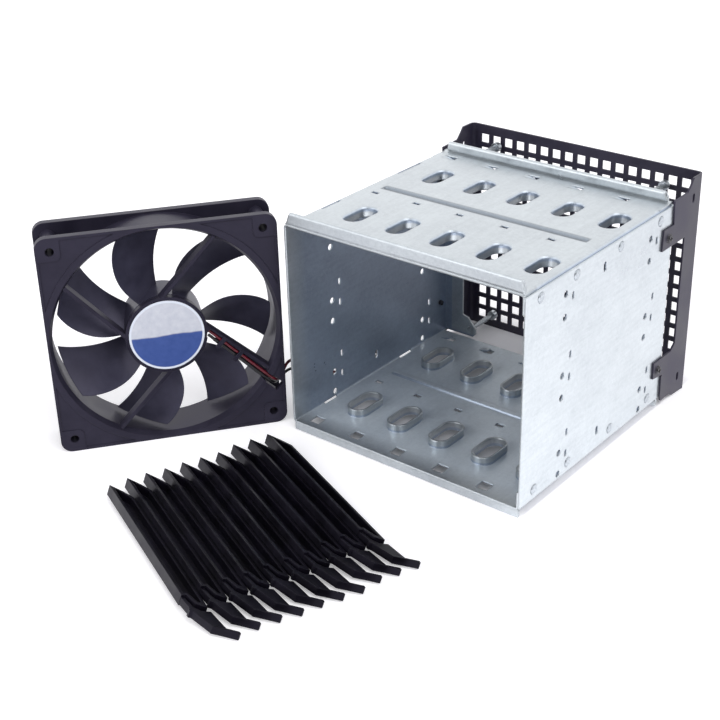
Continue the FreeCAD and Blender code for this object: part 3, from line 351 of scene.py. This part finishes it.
def rivet_steel():
    """Plated steel with marked heads."""
    f = Finish("rivet_steel", Metallic=0.9, Roughness=0.33)
    f.rounded(0.6 * MM)
    marks = f.noise(1100.0, detail=3.0, rough=0.6)
    f.give("Base Color", f.mottle(marks, "80868d", "b2b8be", share=(0.2, 0.9)))
    f.bump(marks, depth=0.04 * MM, strength=0.4)
    return f.material


def black_screw():
    """Blackened steel, worn to bare metal in spots."""
    f = Finish("black_screw", Metallic=0.6, Roughness=0.4)
    wear = f.noise(700.0, detail=4.0, rough=0.6)
    f.give("Base Color", f.mottle(wear, "1d1c20", "5a5a60", band=(0.45, 0.75)))
    f.bump(wear, depth=0.03 * MM, strength=0.4)
    return f.material


def powder_coat():
    """Black powder coat: a fine orange peel, a little dusty."""
    f = Finish("powder_coat", Metallic=0.0, Specular_IOR_Level=0.3)
    f.rounded(0.4 * MM)
    peel = f.noise(1900.0, detail=2.0, rough=0.5)
    dust = f.noise(35.0, detail=5.0, rough=0.6)
    f.give("Base Color", f.mottle(dust, "282534", "363344", band=(0.35, 0.7)))
    f.give("Roughness", f.spread(dust, 0.42, 0.56, 0.35, 0.65))
    f.bump(peel, depth=0.06 * MM, strength=0.5)
    return f.material


def fan_plastic(name, dark, light, rough, sheen):
    """Moulded thermoplastic with a fine matt grain and soft edges."""
    f = Finish(name, Metallic=0.0, Specular_IOR_Level=sheen, Specular_Tint=VIOLET_SHEEN)
    f.rounded(0.5 * MM)
    grain = f.noise(2600.0, detail=2.0, rough=0.5)
    flow = f.noise(60.0, detail=4.0, rough=0.55)
    f.give("Base Color", f.mottle(flow, dark, light))
    f.give("Roughness", f.spread(flow, rough - 0.05, rough + 0.05, 0.35, 0.65))
    f.bump(grain, depth=0.03 * MM, strength=0.35)
    return f.material


def rail_plastic():
    """Satin black moulding with faint sink marks."""
    f = Finish("rail_plastic", Metallic=0.0, Specular_IOR_Level=0.18,
               Specular_Tint=VIOLET_SHEEN)
    f.rounded(0.3 * MM)
    grain = f.noise(2200.0, detail=2.0, rough=0.5)
    sink = f.noise(85.0, detail=3.0, rough=0.5)
    f.give("Base Color", f.mottle(sink, "07060b", "0d0b14"))
    f.give("Roughness", f.spread(sink, 0.30, 0.44, 0.35, 0.65))
    f.bump(grain, depth=0.03 * MM, strength=0.3)
    f.bump(sink, depth=0.3 * MM, strength=0.25)
    return f.material


def hub_film():
    """Coated film on the motor base: pale above, blue below, with a pale rim."""
    f = Finish("hub_film", Metallic=0.0, Roughness=0.35)
    centre = FAN_FRAME.translation
    waver = f.spread(f.noise(90.0, detail=2.0, rough=0.5), -FILM_WAVER * MM, FILM_WAVER * MM,
                     0.3, 0.7)
    height = f.sum(f.axes(f.position)[2], waver)
    lower = f.spread(height, 1.0, 0.0, centre.z - FILM_SPLIT * MM, centre.z + FILM_SPLIT * MM)
    cloud = f.noise(300.0, detail=4.0, rough=0.6)
    pale = f.mottle(cloud, "c3c7d4", "d3d6e0", band=(0.3, 0.7))
    blue = f.mottle(cloud, "374f90", "41599c", band=(0.3, 0.7))
    radius = f.add("ShaderNodeVectorMath", operation="DISTANCE")
    f.feed(radius.inputs[0], f.position)
    f.feed(radius.inputs[1], centre)
    rim = f.spread(radius.outputs["Value"], 0.0, 1.0, FILM_RIM_START * MM, FILM_RIM_END * MM)
    two_tone = f.mix("RGBA", lower, pale, blue)
    f.give("Base Color", f.mix("RGBA", rim, two_tone, srgb("dfe5f2")))
    f.bump(cloud, depth=0.04 * MM, strength=0.3)
    return f.material


def wire_skin(name, dark, light):
    """Glossy insulation, a little scuffed."""
    f = Finish(name, Metallic=0.0, Roughness=0.3)
    scuff = f.noise(420.0, detail=3.0, rough=0.6)
    f.give("Base Color", f.mottle(scuff, dark, light))
    f.bump(scuff, depth=0.04 * MM, strength=0.3)
    return f.material


def plain(name, dark, light, rough, metal, scale):
    """A finish for small and inner pieces, mottled at the scale given."""
    f = Finish(name, Metallic=metal, Roughness=rough)
    spots = f.noise(scale, detail=3.0, rough=0.55)
    f.give("Base Color", f.mottle(spots, dark, light))
    f.bump(spots, depth=0.03 * MM, strength=0.3)
    return f.material


ZINC = zinc_sheet()
RIVET = rivet_steel()
POWDER = powder_coat()
SCREW = black_screw()
FRAME_PLASTIC = fan_plastic("fan_frame_plastic", "211f2b", "2b2936", rough=0.42, sheen=0.2)
BLADE_PLASTIC = fan_plastic("fan_blade_plastic", "2c2b39", "3a3949", rough=0.36, sheen=0.28)
RAIL_PLASTIC = rail_plastic()
FILM = hub_film()
WIRE_RED = wire_skin("wire_red", "4c0a1a", "6e1528")
WIRE_BLACK = wire_skin("wire_black", "111114", "1b1b20")
NYLON = plain("connector_nylon", "151518", "202024", rough=0.4, metal=0.0, scale=600.0)
BRIGHT = turned_steel()
CORE = plain("lamination_steel", "6f757b", "8b9298", rough=0.4, metal=0.9, scale=800.0)
COPPER = plain("enamelled_copper", "9a4a1c", "c26c34", rough=0.3, metal=0.8, scale=700.0)
BOARD = plain("solder_mask", "14482a", "1d6238", rough=0.4, metal=0.0, scale=500.0)
FERRITE = plain("bonded_ferrite", "2b2826", "3a3633", rough=0.6, metal=0.0, scale=900.0)
CLIP = plain("clip_nylon", "d8d8d0", "edede6", rough=0.4, metal=0.0, scale=500.0)

FINISHES = {
    "cage_shell": ZINC, "side_panel": ZINC, "clinch_rivets": RIVET, "mesh_bezel": POWDER,
    "bezel_screws": SCREW, "fan_screws": RIVET, "fan_frame": FRAME_PLASTIC,
    "fan_label": FILM, "fan_bearings": BRIGHT, "fan_circuit_board": BOARD,
    "stator_core": CORE, "stator_windings": COPPER, "fan_rotor": BLADE_PLASTIC,
    "rotor_yoke": CORE, "rotor_magnet": FERRITE, "fan_shaft": BRIGHT,
    "retaining_clip": CLIP, "fan_connector": NYLON,
}


def dress(obj, material):
    """Gives a CAD piece its one material."""
    obj.data.materials.clear()
    obj.data.materials.append(material)


for name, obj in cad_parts.items():
    if name.startswith(("drive_rail_", "rail_latch_")):
        dress(obj, RAIL_PLASTIC)
    elif name in FINISHES:
        dress(obj, FINISHES[name])

# ------------------------------------------------------------------------ camera

# Where the photograph was taken from: a place in metres, angles in degrees, and
# the lens and sensor in millimetres.
CAMERA_PLACE = Vector((0.41651, -0.47787, 0.37723))
CAMERA_AZIMUTH = 39.713
CAMERA_ELEVATION = 27.669
CAMERA_ROLL = -1.562
LENS = 70.04
SENSOR_WIDTH = 36.0


def heading(azimuth, elevation):
    """The way to what stands at these angles; azimuth 0 is -Y and 90 is +X."""
    a = math.radians(azimuth)
    e = math.radians(elevation)
    return Vector((math.sin(a) * math.cos(e), -math.cos(a) * math.cos(e), math.sin(e)))


def place_camera():
    """Sets the camera up where the photographer stood."""
    camera = show("camera", bpy.data.cameras.new("camera"))
    camera.data.sensor_width = SENSOR_WIDTH
    camera.data.lens = LENS
    camera.data.clip_start = 0.01
    camera.data.clip_end = 20.0
    backwards = heading(CAMERA_AZIMUTH, CAMERA_ELEVATION)
    aim = (-backwards).to_track_quat("-Z", "Y").to_matrix().to_4x4()
    camera.matrix_world = (Matrix.Translation(CAMERA_PLACE) @ aim
                           @ Matrix.Rotation(math.radians(CAMERA_ROLL), 4, "Z"))
    bpy.context.scene.camera = camera


place_camera()

# -------------------------------------------------------------------- lead wires

WIRE_THICKNESS = 1.6
# The wires lie in a channel beside the fan's lower right strut: its heading from
# the hub, how far beside the hub's axis it runs, how deep behind the front the
# wires lie, and how far each keeps from the channel's middle.
LEAD_HEADING = math.radians(-45.8)
LEAD_OFFSET = 13.7
LEAD_DEPTH = 1.9
LEAD_APART = 0.95
# The wires leave the motor at its edge, and the frame by a notch near its corner.
HUB_REACH = 21.5
NOTCH_RUN = HALF_FAN / math.cos(LEAD_HEADING) - LEAD_OFFSET
# The put-away coil on the floor beside the cage. The last part of each turn
# climbs on to the turn below.
COIL_CENTRE = (-20.0, 86.0)
COIL_RADIUS = 9.14
COIL_APART = 0.86
COIL_STEP = math.radians(22.5)
COIL_START = math.radians(-10.0)
COIL_END = math.radians(760.0)
COIL_CLIMB = 0.2
TURN_RISE = 1.05 * WIRE_THICKNESS
FLOOR_LEVEL = WIRE_THICKNESS / 2


def smooth(t):
    """0 up to 0, 1 from 1 on, and an even curve between."""
    t = max(0.0, min(1.0, t))
    return t * t * (3 - 2 * t)


def coil_points(radius):
    """Two turns and a bit: each lies flat and climbs on to the last near its end."""
    count = round((COIL_END - COIL_START) / COIL_STEP)
    points = []
    for i in range(count + 1):
        angle = COIL_START + (COIL_END - COIL_START) * i / count
        turns = (angle - COIL_START) / (2 * math.pi)
        whole = math.floor(turns)
        climbed = smooth((turns - whole - (1 - COIL_CLIMB)) / COIL_CLIMB)
        points.append((COIL_CENTRE[0] + radius * math.cos(angle),
                       COIL_CENTRE[1] + radius * math.sin(angle),
                       FLOOR_LEVEL + TURN_RISE * (whole + climbed)))
    return points


def along_strut(run, aside):
    """A point of the channel: so far out from the hub, so far beside its axis."""
    return fan_point(run * math.cos(LEAD_HEADING) - aside * math.sin(LEAD_HEADING), LEAD_DEPTH,
                     run * math.sin(LEAD_HEADING) + aside * math.cos(LEAD_HEADING))


def lead_route(side):
    """One wire's route from the motor to its connector; side is 1 or -1."""
    aside = LEAD_OFFSET + LEAD_APART * side
    route = [
        along_strut(math.sqrt(HUB_REACH ** 2 - aside ** 2), aside),
        along_strut(NOTCH_RUN - 18.0, aside),
        along_strut(NOTCH_RUN - 8.6, aside),
        fan_point(HALF_FAN - 2.1 + 0.8 * side, 9.0, -38.5 + 0.8 * side),
        fan_point(HALF_FAN + 5.0 + 0.1 * side, 12.0, -30.5 + 3.2 * side),
        cage_point(-7.0 + 1.1 * side, 27.0, 24.0 + 1.6 * side),
        cage_point(-6.0 + 1.2 * side, 41.0, 14.0 + 0.8 * side),
        cage_point(-7.4 + 1.1 * side, 54.0, 3.4),
        cage_point(-8.83 + 0.87 * side, 66.0, FLOOR_LEVEL),
        cage_point(-8.83 + 0.87 * side, 79.6, FLOOR_LEVEL),
    ]
    route += [cage_point(*point) for point in coil_points(COIL_RADIUS + COIL_APART * side)]
    route += [
        cage_point(-17.2 + 0.62 * side, 97.1 + 0.5 * side, 4.0),
        cage_point(-21.0 + 0.9 * side, 102.2, 3.2),
        cage_point(-23.0 + 1.27 * side, 109.6, 2.6),
    ]
    return route


def wire(name, side, material):
    """One wire of the lead, a round tube along its route."""
    data = bpy.data.curves.new(name, "CURVE")
    data.dimensions = "3D"
    data.resolution_u = 10
    data.bevel_depth = WIRE_THICKNESS / 2 * MM
    data.bevel_resolution = 5
    data.use_fill_caps = True
    spline = data.splines.new("NURBS")
    route = lead_route(side)
    spline.points.add(len(route) - 1)
    for point, place in zip(spline.points, route):
        point.co = (*place, 1.0)
    spline.order_u = 3
    spline.use_endpoint_u = True
    data.materials.append(material)
    obj = show(name, data)
    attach(obj, "fan")
    return obj


# A dark web closes the back of the channel: how far out from the hub it runs, how
# far beside the hub's axis, and how deep behind the wires' middles.
BED_RUNS = (22.0, 56.0)
BED_SIDES = (LEAD_OFFSET - 2.3, LEAD_OFFSET + 2.4)
BED_DEPTHS = (1.15, 1.75)


def channel_bed():
    """The flat bar behind the wires."""
    behind = FAN_FRAME.to_3x3() @ Vector((0.0, MM, 0.0))
    build = bmesh.new()
    rings = []
    for depth in BED_DEPTHS:
        corners = [along_strut(BED_RUNS[run], BED_SIDES[side]) + behind * depth
                   for run, side in ((0, 0), (1, 0), (1, 1), (0, 1))]
        rings.append([build.verts.new(corner) for corner in corners])
    front, back = rings
    build.faces.new(front)
    build.faces.new(back[::-1])
    for i in range(4):
        build.faces.new((front[i - 1], back[i - 1], back[i], front[i]))
    bmesh.ops.recalc_face_normals(build, faces=build.faces)
    mesh = bpy.data.meshes.new("channel_bed")
    build.to_mesh(mesh)
    build.free()
    mesh.materials.append(FRAME_PLASTIC)
    return show("channel_bed", mesh)


bed = channel_bed()
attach(bed, "fan")

red_wire = wire("lead_wire_red", 1, WIRE_RED)
black_wire = wire("lead_wire_black", -1, WIRE_BLACK)
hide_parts("lead_red", "lead_coil")
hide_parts("lead_black")
lead_route(1)[0]
lead_route(-1)[0]

# ------------------------------------------------------------------------- floor

FLOOR_REACH = 6.0
FLOOR_DROP = 0.00005
PAPER = (0.925, 0.915, 0.95, 1.0)
# The paper's own glow for the eye: plain white in the open, and dimmed to a painted shadow
# under the cage and its bezel, in the cage's millimetres.
OPEN_GLOW = 0.3
SHADED_GLOW = 0.03
SHADE_FRONT = (0.0, 8.0)
SHADE_BACK = (165.0, 180.0)
# What shiny surfaces see of it: bright to the cage's right, less so further back,
# and grey in front. Each is two levels and the metres between which they change.
RIGHT_POOL = (0.12, 1.08, 0.095, 0.125)
POOL_TOWARDS_BACK = (1.08, 0.74, 0.05, 0.35)
FRONT_POOL = (0.45, 0.0, -0.03, 0.0)


def floor_paper():
    """White paper that stays white for the eye and uneven for shiny surfaces."""
    f = Finish("floor", Base_Color=PAPER, Roughness=0.9, Specular_IOR_Level=0.0)
    ray = f.add("ShaderNodeLightPath").outputs
    x, y, _ = f.axes(f.position)
    # Painted shadow on the paper under the cage and its bezel.
    painted_shadow_under_cage = f.product(f.near(x, INSIDE_MIDDLE.x, INSIDE_HALF_WIDTH * MM),
                           within_depth(f, y, SHADE_FRONT, SHADE_BACK))
    seen = f.product(ray["Is Camera Ray"], f.spread(painted_shadow_under_cage, OPEN_GLOW, SHADED_GLOW))
    pool = f.sum(f.product(f.spread(x, *RIGHT_POOL), f.spread(y, *POOL_TOWARDS_BACK)),
                 f.spread(y, *FRONT_POOL))
    mirrored = f.product(ray["Is Glossy Ray"], pool)
    glow = f.add("ShaderNodeEmission")
    f.feed(glow.inputs["Strength"], f.sum(seen, mirrored))
    both = f.add("ShaderNodeAddShader")
    f.feed(both.inputs[0], f.shader.outputs[0])
    f.feed(both.inputs[1], glow.outputs[0])
    f.feed(f.tree.nodes["Material Output"].inputs["Surface"], both.outputs[0])
    return f.material


def lay_floor():
    """A square of paper, just below the part's lowest faces."""
    mesh = bpy.data.meshes.new("floor")
    corners = [(x * FLOOR_REACH, y * FLOOR_REACH, 0.0)
               for x, y in ((-1, -1), (1, -1), (1, 1), (-1, 1))]
    mesh.from_pydata(corners, [], [(0, 1, 2, 3)])
    mesh.materials.append(floor_paper())
    floor = show("floor", mesh)
    floor.location.z = -FLOOR_DROP
    return floor


floor = lay_floor()

# ------------------------------------------------------------------------- light

# The room: white all round for the eye and an even fill for matt surfaces.
# What shiny surfaces see is darker low down on the photographer's side.
FILL_LEVEL = 0.62
BACKDROP_LEVEL = 1.75
DARK_SIDE_LEVEL = 0.12
DARK_SIDE = Vector((0.60, -0.72, -0.05)).normalized()
DARK_SIDE_CORE = 0.65


def light_room():
    """The world as the eye, shiny surfaces and matt surfaces see it."""
    world = bpy.data.worlds.new("studio")
    bpy.context.scene.world = world
    world.use_nodes = True
    w = Nodes(world.node_tree)
    ray = w.add("ShaderNodeLightPath").outputs
    facing = w.add("ShaderNodeVectorMath", operation="DOT_PRODUCT")
    w.feed(facing.inputs[0], w.add("ShaderNodeTexCoord").outputs["Generated"])
    w.feed(facing.inputs[1], DARK_SIDE)
    mirrored = w.spread(facing.outputs["Value"], BACKDROP_LEVEL, DARK_SIDE_LEVEL,
                        0.0, DARK_SIDE_CORE, curve="SMOOTHSTEP")
    level = w.mix("FLOAT", ray["Is Glossy Ray"], FILL_LEVEL, mirrored)
    level = w.mix("FLOAT", ray["Is Camera Ray"], level, 1.0)
    background = w.tree.nodes["Background"]
    w.feed(background.inputs["Color"], (1.0, 1.0, 1.0, 1.0))
    w.feed(background.inputs["Strength"], level)


def soft_sun(name, azimuth, elevation, strength, width):
    """A broad light that stands at these angles; its width is in degrees too."""
    data = bpy.data.lights.new(name, "SUN")
    data.energy = strength
    data.angle = math.radians(width)
    sun = show(name, data)
    sun.rotation_euler = heading(azimuth, elevation).to_track_quat("Z", "Y").to_euler()


light_room()
soft_sun("key", azimuth=75.0, elevation=48.0, strength=1.45, width=50.0)
soft_sun("front_fill", azimuth=-18.0, elevation=26.0, strength=1.1, width=40.0)
bpy.context.scene.view_settings.view_transform = "Standard"
